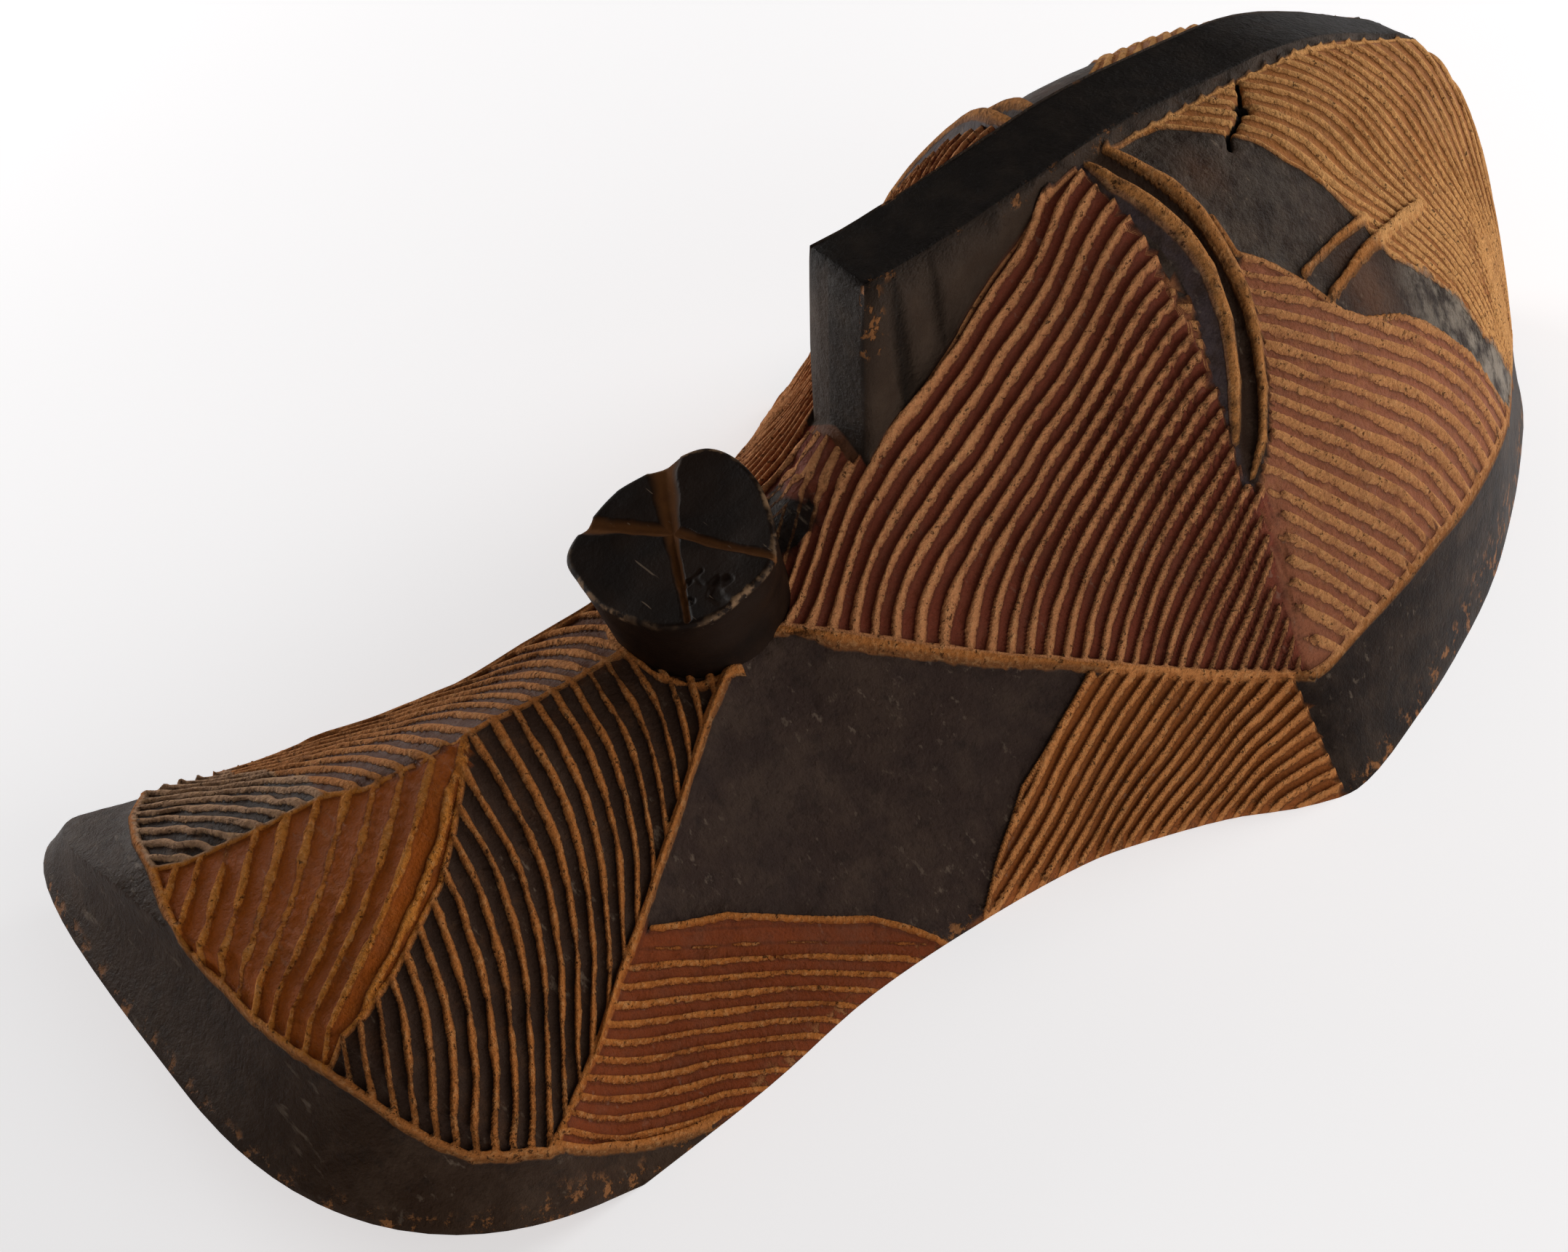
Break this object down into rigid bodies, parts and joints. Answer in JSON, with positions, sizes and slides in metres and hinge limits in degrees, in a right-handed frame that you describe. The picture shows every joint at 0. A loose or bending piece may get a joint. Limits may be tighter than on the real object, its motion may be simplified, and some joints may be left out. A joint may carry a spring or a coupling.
{
  "type": "wooden face mask",
  "caption": "Long carved wooden face mask with a high flat crest running into a blade nose, a round projecting mouth, crescent eyes and ridged panels, hollow at the back.",
  "frame": {"origin": "on the plane that the back edge rests on, at the middle of the mask's bounding box", "axes": "+X to the mask's own left, +Y from the chin to the top of the head, +Z out of the face; the mask lies on its back"},
  "size_m": [0.23, 0.452, 0.145],
  "materials": {
    "wood": "carved, darkened with pigment and worn to ochre wood on the ridges"
  },
  "bodies": {
    "root": {"mask": "wood"}
  },
  "joints": []
}
